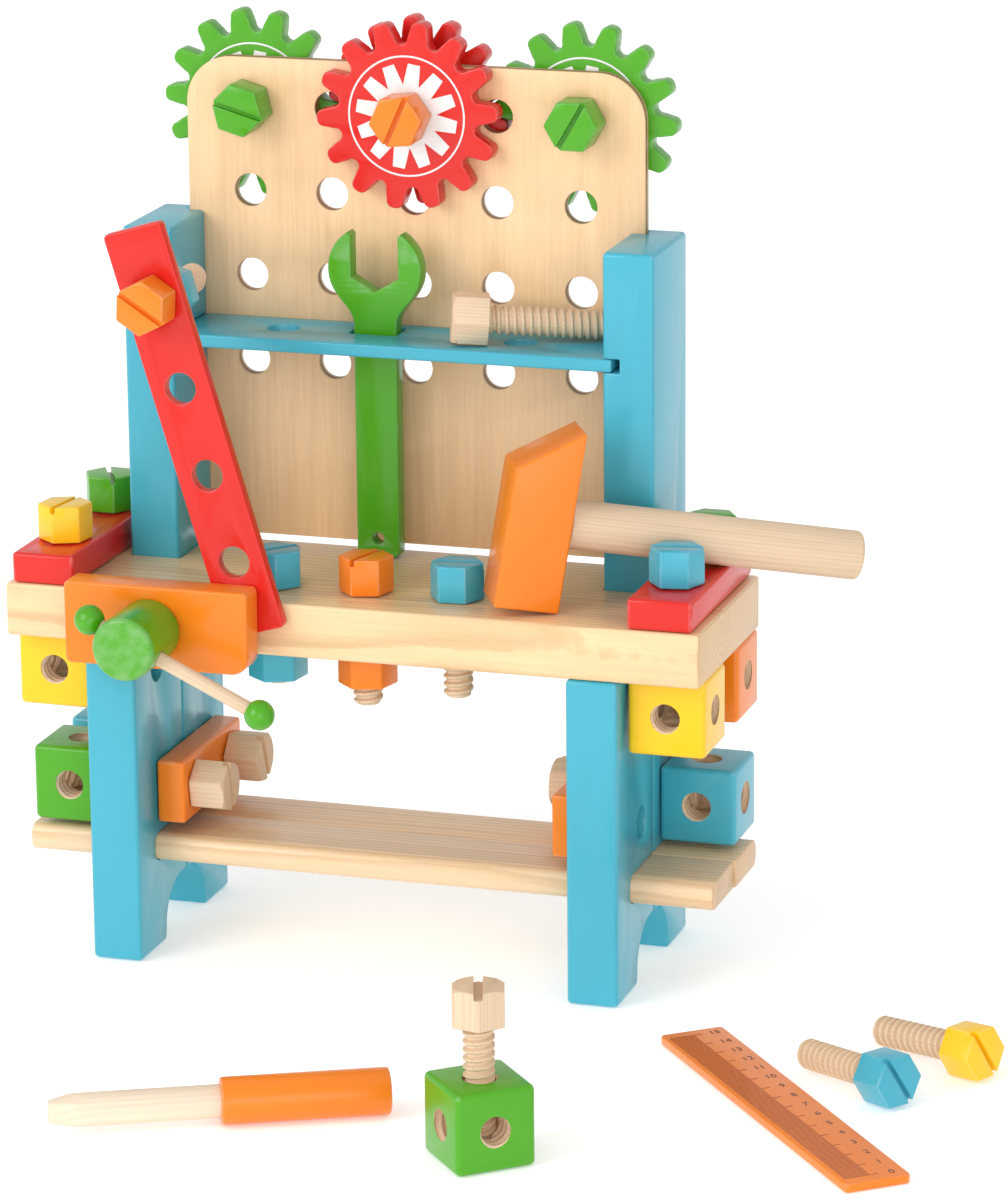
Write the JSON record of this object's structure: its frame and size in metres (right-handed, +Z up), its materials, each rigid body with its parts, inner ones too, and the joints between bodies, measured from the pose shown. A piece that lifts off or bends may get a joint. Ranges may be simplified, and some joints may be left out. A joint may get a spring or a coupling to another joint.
{
  "type": "toy workbench",
  "caption": "Wooden toy workbench with pegboard, turning gears, screw vise, threaded cubes and bolts, perforated strip and hand tools.",
  "frame": {"origin": "on the floor, in the middle of the part's bounding box", "axes": "+Z up, +X to the right of a child standing at the front, +Y to the back (the vise is on the -Y front)"},
  "size_m": [0.4782, 0.3764, 0.4291],
  "materials": {
    "blue_lacquer": "glossy non-toxic lacquer on wood",
    "green_lacquer": "glossy non-toxic lacquer on wood",
    "red_lacquer": "glossy non-toxic lacquer on wood",
    "orange_lacquer": "glossy non-toxic lacquer on wood",
    "yellow_lacquer": "glossy non-toxic lacquer on wood",
    "pine": "clear satin lacquer over pine with long straight grain",
    "beech": "bare sanded beech",
    "plywood": "satin lacquered birch plywood"
  },
  "bodies": {
    "frame": {"bolt_gear_left_green": "green_lacquer", "bolt_gear_middle_orange": "orange_lacquer", "bolt_gear_right_green": "green_lacquer", "cube_left_front_yellow": "yellow_lacquer", "cube_left_leg_blue": "blue_lacquer", "cube_left_leg_green": "green_lacquer", "cube_left_rear_orange": "orange_lacquer", "cube_right_front_yellow": "yellow_lacquer", "cube_right_leg_blue": "blue_lacquer", "cube_right_rear_orange": "orange_lacquer", "left_end_block": "red_lacquer", "left_leg_front": "blue_lacquer", "left_tie_beam": "orange_lacquer", "left_upright": "blue_lacquer", "lower_shelf_front": "pine", "lower_shelf_rear": "pine", "nut_gear_left": "yellow_lacquer", "nut_gear_middle": "blue_lacquer", "nut_gear_right": "yellow_lacquer", "nut_worktop_left_blue": "blue_lacquer", "nut_worktop_middle_orange": "orange_lacquer", "pegboard_panel": "plywood", "right_end_block": "red_lacquer", "right_leg_front": "blue_lacquer", "right_tie_beam": "orange_lacquer", "right_upright": "blue_lacquer", "upper_shelf": "blue_lacquer", "worktop": "pine"},
    "rear_red_gear": {"gear_rear_middle_red": "red_lacquer"},
    "left_green_gear": {"gear_rear_left_green": "green_lacquer"},
    "right_green_gear": {"gear_rear_right_green": "green_lacquer"},
    "front_red_gear": {"gear_front_red": "red_lacquer"},
    "vise_jaw": {"vise_jaw": "orange_lacquer"},
    "vise_screw": {"vise_screw": "green_lacquer"},
    "tommy_bar": {"tommy_bar": "beech", "tommy_ball_left": "green_lacquer", "tommy_ball_right": "green_lacquer"},
    "bolt_left_front_yellow": {"bolt_left_front_yellow": "yellow_lacquer"},
    "bolt_left_rear_green": {"bolt_left_rear_green": "green_lacquer"},
    "bolt_right_front_blue": {"bolt_right_front_blue": "blue_lacquer"},
    "bolt_right_rear_green": {"bolt_right_rear_green": "green_lacquer"},
    "bolt_worktop_left_blue": {"bolt_worktop_left_blue": "blue_lacquer"},
    "bolt_worktop_middle_orange": {"bolt_worktop_middle_orange": "orange_lacquer"},
    "bolt_worktop_right_blue": {"bolt_worktop_right_blue": "blue_lacquer"},
    "bolt_left_leg_front": {"bolt_left_leg_front": "beech"},
    "bolt_left_leg_rear": {"bolt_left_leg_rear": "beech"},
    "bolt_right_leg_rear": {"bolt_right_leg_rear": "beech"},
    "strip_set": {"perforated_strip": "red_lacquer", "bolt_strip_orange": "orange_lacquer", "nut_strip_blue": "blue_lacquer"},
    "spanner": {"spanner": "green_lacquer"},
    "shelf_bolt": {"bolt_on_upper_shelf": "beech"},
    "hammer": {"hammer_head": "orange_lacquer", "hammer_handle": "beech"},
    "screwdriver": {"screwdriver": "orange_lacquer"},
    "ruler": {"ruler": "orange_lacquer"},
    "loose_cube": {"cube_loose_green": "green_lacquer"},
    "loose_cube_bolt": {"bolt_loose_cube": "beech"},
    "loose_blue_bolt": {"bolt_loose_blue": "blue_lacquer"},
    "loose_yellow_bolt": {"bolt_loose_yellow": "yellow_lacquer"}
  },
  "joints": [
    {"name": "rear_red_gear_turn", "type": "hinge", "parent": "frame", "child": "rear_red_gear", "pos_m": [-0.07356, 0.14116, 0.3856], "axis": [0, 1, 0], "continuous": true},
    {"name": "left_green_gear_turn", "type": "hinge", "parent": "frame", "child": "left_green_gear", "pos_m": [-0.15356, 0.14116, 0.3856], "axis": [0, 1, 0], "continuous": true},
    {"name": "right_green_gear_turn", "type": "hinge", "parent": "frame", "child": "right_green_gear", "pos_m": [0.00644, 0.14116, 0.3856], "axis": [0, 1, 0], "continuous": true},
    {"name": "front_red_gear_turn", "type": "hinge", "parent": "frame", "child": "front_red_gear", "pos_m": [-0.07356, 0.12916, 0.3856], "axis": [0, 1, 0], "continuous": true},
    {"name": "vise_jaw_slide", "type": "slide", "parent": "frame", "child": "vise_jaw", "axis": [0, -1, 0], "range_m": [0, 0.03]},
    {"name": "vise_screw_turn", "type": "hinge", "parent": "vise_jaw", "child": "vise_screw", "pos_m": [-0.15956, -0.01244, 0.168], "axis": [0, -1, 0], "range_deg": [0, 1801]},
    {"name": "tommy_bar_slide", "type": "slide", "parent": "vise_screw", "child": "tommy_bar", "axis": [-0.9033, 0, 0.4289], "range_m": [0, 0.044]},
    {"name": "bolt_left_front_yellow_turn", "type": "hinge", "parent": "frame", "child": "bolt_left_front_yellow", "pos_m": [-0.22006, 0.05916, 0.1933], "axis": [0, 0, 1], "continuous": true},
    {"name": "bolt_left_rear_green_turn", "type": "hinge", "parent": "frame", "child": "bolt_left_rear_green", "pos_m": [-0.22006, 0.11666, 0.1933], "axis": [0, 0, 1], "continuous": true},
    {"name": "bolt_right_front_blue_turn", "type": "hinge", "parent": "frame", "child": "bolt_right_front_blue", "pos_m": [0.07294, 0.05916, 0.1933], "axis": [0, 0, 1], "continuous": true},
    {"name": "bolt_right_rear_green_turn", "type": "hinge", "parent": "frame", "child": "bolt_right_rear_green", "pos_m": [0.07294, 0.11666, 0.1933], "axis": [0, 0, 1], "continuous": true},
    {"name": "bolt_worktop_left_blue_turn", "type": "hinge", "parent": "frame", "child": "bolt_worktop_left_blue", "pos_m": [-0.11706, 0.05916, 0.1788], "axis": [0, 0, 1], "continuous": true},
    {"name": "bolt_worktop_middle_orange_turn", "type": "hinge", "parent": "frame", "child": "bolt_worktop_middle_orange", "pos_m": [-0.07356, 0.05916, 0.1788], "axis": [0, 0, 1], "continuous": true},
    {"name": "bolt_worktop_right_blue_turn", "type": "hinge", "parent": "frame", "child": "bolt_worktop_right_blue", "pos_m": [-0.03006, 0.05916, 0.1788], "axis": [0, 0, 1], "continuous": true},
    {"name": "bolt_left_leg_front_turn", "type": "hinge", "parent": "frame", "child": "bolt_left_leg_front", "pos_m": [-0.16226, 0.06966, 0.076], "axis": [1, 0, 0], "continuous": true},
    {"name": "bolt_left_leg_rear_turn", "type": "hinge", "parent": "frame", "child": "bolt_left_leg_rear", "pos_m": [-0.16226, 0.11666, 0.076], "axis": [1, 0, 0], "continuous": true},
    {"name": "bolt_right_leg_rear_turn", "type": "hinge", "parent": "frame", "child": "bolt_right_leg_rear", "pos_m": [0.01514, 0.11666, 0.076], "axis": [-1, 0, 0], "continuous": true},
    {"name": "strip_lift", "type": "slide", "parent": "frame", "child": "strip_set", "axis": [0, 0, 1], "range_m": [0, 0.08]},
    {"name": "spanner_lift", "type": "slide", "parent": "frame", "child": "spanner", "axis": [0, 0, 1], "range_m": [0, 0.038]},
    {"name": "shelf_bolt_lift", "type": "slide", "parent": "frame", "child": "shelf_bolt", "axis": [0, 0, 1], "range_m": [0, 0.04]},
    {"name": "hammer_lift", "type": "slide", "parent": "frame", "child": "hammer", "axis": [0, 0, 1], "range_m": [0, 0.08]},
    {"name": "screwdriver_lift", "type": "slide", "parent": "frame", "child": "screwdriver", "axis": [0, 0, 1], "range_m": [0, 0.06]},
    {"name": "ruler_lift", "type": "slide", "parent": "frame", "child": "ruler", "axis": [0, 0, 1], "range_m": [0, 0.06]},
    {"name": "loose_cube_lift", "type": "slide", "parent": "frame", "child": "loose_cube", "axis": [0, 0, 1], "range_m": [0, 0.06]},
    {"name": "loose_cube_bolt_turn", "type": "hinge", "parent": "loose_cube", "child": "loose_cube_bolt", "pos_m": [0.04844, -0.16084, 0.06], "axis": [0, 0, 1], "continuous": true},
    {"name": "loose_blue_bolt_lift", "type": "slide", "parent": "frame", "child": "loose_blue_bolt", "axis": [0, 0, 1], "range_m": [0, 0.06]},
    {"name": "loose_yellow_bolt_lift", "type": "slide", "parent": "frame", "child": "loose_yellow_bolt", "axis": [0, 0, 1], "range_m": [0, 0.06]}
  ],
  "couplings": [
    {"joint": "left_green_gear_turn", "follows": "rear_red_gear_turn", "ratio": -1},
    {"joint": "right_green_gear_turn", "follows": "rear_red_gear_turn", "ratio": -1},
    {"joint": "vise_screw_turn", "follows": "vise_jaw_slide", "rad_per_m": 1047.2}
  ]
}
